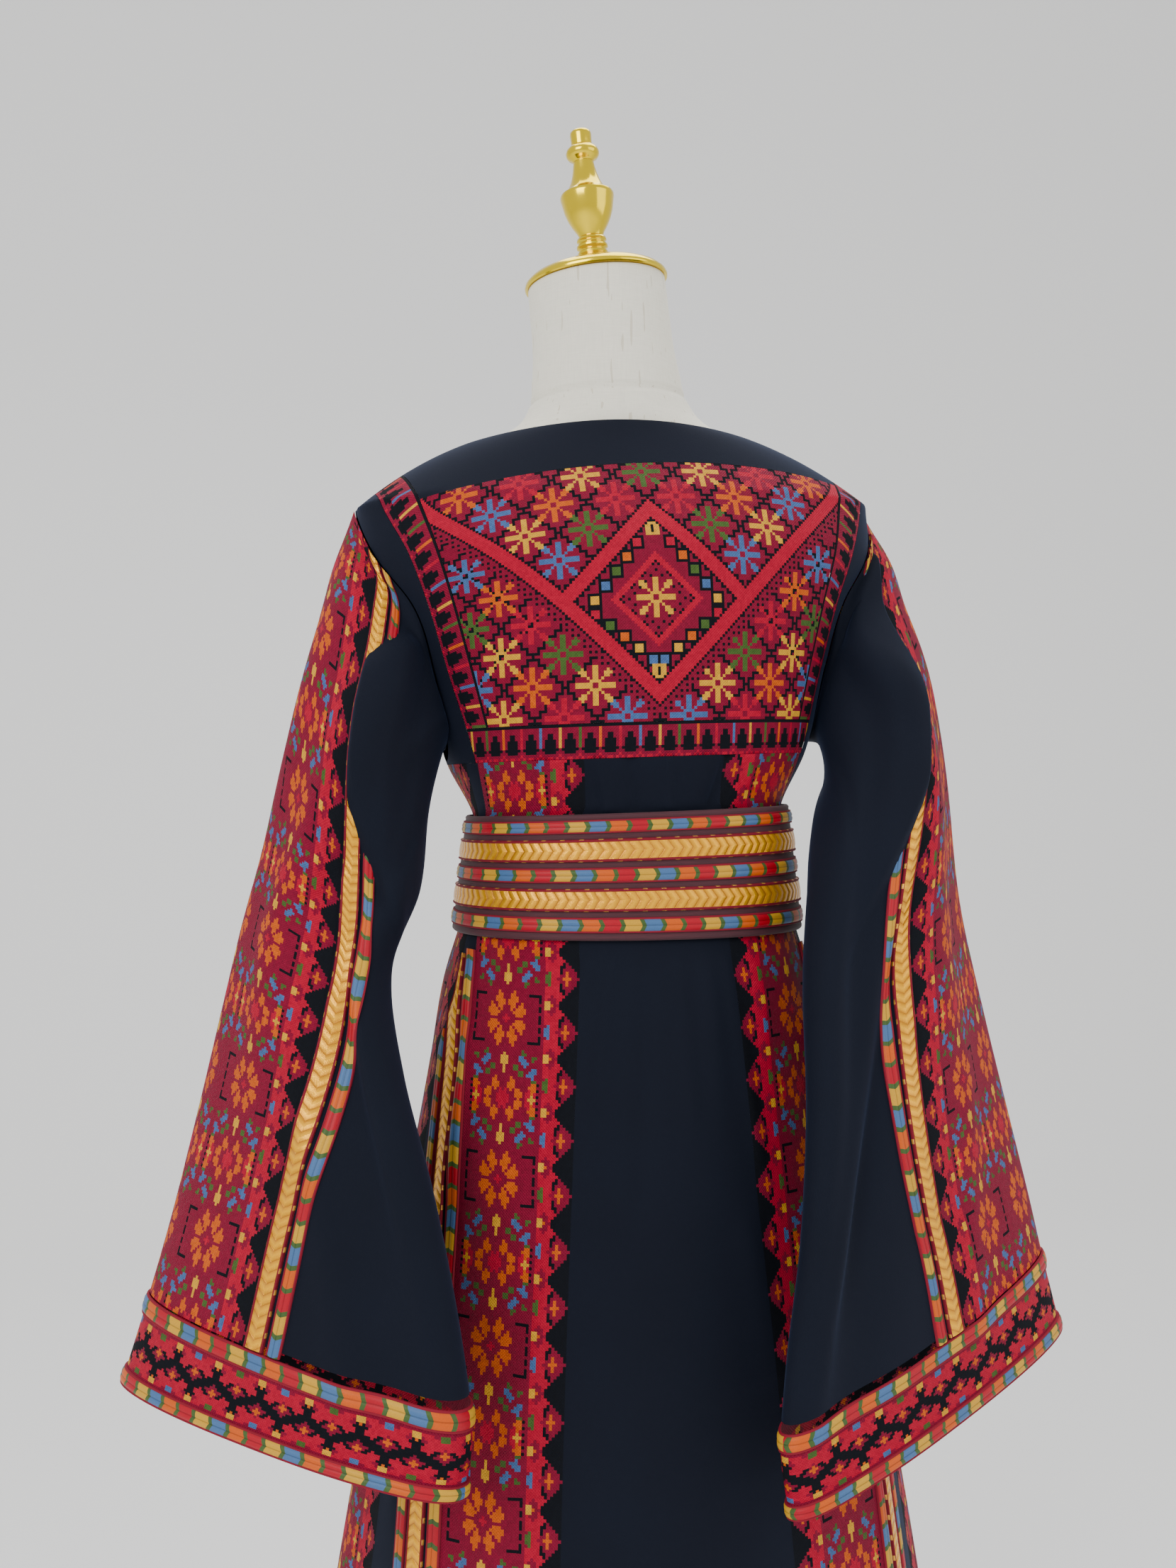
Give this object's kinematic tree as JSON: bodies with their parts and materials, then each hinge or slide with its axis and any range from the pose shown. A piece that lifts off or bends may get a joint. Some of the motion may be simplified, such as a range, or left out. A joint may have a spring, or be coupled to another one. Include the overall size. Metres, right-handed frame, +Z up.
{
  "type": "embroidered thobe dress on a dress form",
  "caption": "Long black dress with cross-stitched panels, bell sleeves, ribbon and gold braid bands and a wide belt, worn by a linen dress form on a round stand.",
  "frame": {"origin": "centre of the stand's base, on the floor", "axes": "+Z up along the stand's pole, -Y towards the back of the dress, -X towards the dress's left side"},
  "size_m": [0.7615, 0.5326, 1.7065],
  "materials": {
    "black_crepe": "matt black crepe",
    "tatreez": "black cloth covered with cross-stitch",
    "gold_braid": "glossy woven braid",
    "satin_ribbon": "padded satin ribbon in several colours",
    "belt_cloth": "dark maroon cloth",
    "linen": "off-white linen weave",
    "gold_metal": "polished, gold coloured"
  },
  "bodies": {
    "root": {"armhole_side_L": "black_crepe", "armhole_side_R": "black_crepe", "back_panel": "black_crepe", "back_strip_L": "tatreez", "back_strip_R": "tatreez", "belt": "belt_cloth", "belt_braid_lower": "gold_braid", "belt_braid_upper": "gold_braid", "belt_ribbon_bottom": "satin_ribbon", "belt_ribbon_middle": "satin_ribbon", "belt_ribbon_top": "satin_ribbon", "cuff_L": "tatreez", "cuff_R": "tatreez", "cuff_ribbon_lower_L": "satin_ribbon", "cuff_ribbon_lower_R": "satin_ribbon", "cuff_ribbon_upper_L": "satin_ribbon", "cuff_ribbon_upper_R": "satin_ribbon", "form_base": "gold_metal", "form_finial": "gold_metal", "form_neck_cap": "gold_metal", "form_pole": "gold_metal", "form_torso": "linen", "front_bodice": "black_crepe", "front_panel": "black_crepe", "gore_braid_L": "gold_braid", "gore_braid_R": "gold_braid", "gore_ribbon_back_L": "satin_ribbon", "gore_ribbon_back_R": "satin_ribbon", "gore_ribbon_front_L": "satin_ribbon", "gore_ribbon_front_R": "satin_ribbon", "side_front_strip_L": "tatreez", "side_front_strip_R": "tatreez", "side_gore_L": "black_crepe", "side_gore_R": "black_crepe", "sleeve_L": "black_crepe", "sleeve_R": "black_crepe", "sleeve_braid_L": "gold_braid", "sleeve_braid_R": "gold_braid", "sleeve_ribbon_L": "satin_ribbon", "sleeve_ribbon_R": "satin_ribbon", "sleeve_strip_L": "tatreez", "sleeve_strip_R": "tatreez", "yoke_band": "tatreez", "yoke_border_L": "tatreez", "yoke_border_R": "tatreez", "yoke_panel": "tatreez", "yoke_top": "black_crepe"}
  },
  "joints": []
}
